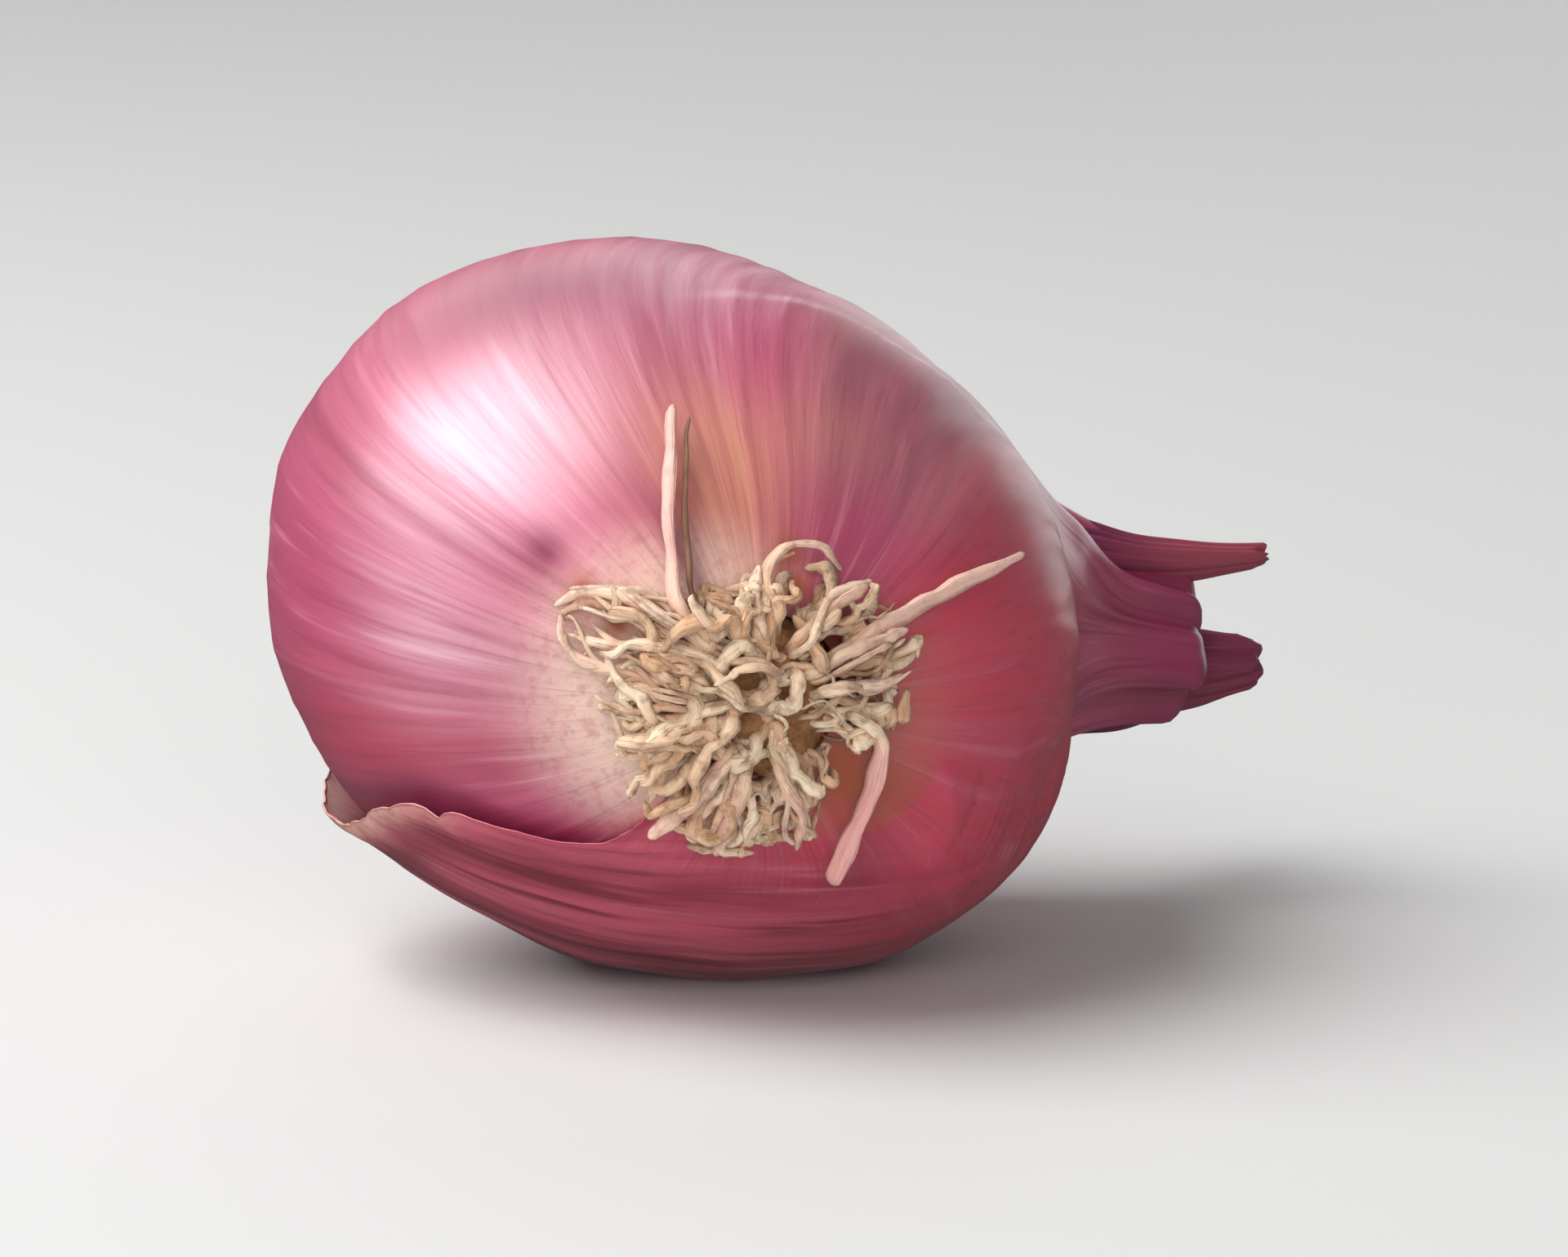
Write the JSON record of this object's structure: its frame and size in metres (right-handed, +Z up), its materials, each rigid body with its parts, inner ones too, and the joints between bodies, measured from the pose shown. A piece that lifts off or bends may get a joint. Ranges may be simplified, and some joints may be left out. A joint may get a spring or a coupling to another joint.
{
  "type": "shallot",
  "caption": "Round red shallot lying on its side: smooth ribbed bulb with a pleated dried neck, a tuft of dry curly roots on its basal plate, and a papery outer skin round the underside.",
  "frame": {"origin": "on the small flat spot that the shallot rests on, near the middle of its underside and below its weight", "axes": "+Z up from the flat spot; the basal plate with the root tuft faces -Y, turned 18 degrees towards +X; the neck bends away towards +X"},
  "size_m": [0.0572, 0.0588, 0.041],
  "materials": {
    "bulb_skin": "satin",
    "dry_skin": "satin",
    "root_straw": "matte"
  },
  "bodies": {
    "root": {"bulb": "bulb_skin", "outer_skin": "dry_skin", "root_tuft": "root_straw"}
  },
  "joints": []
}
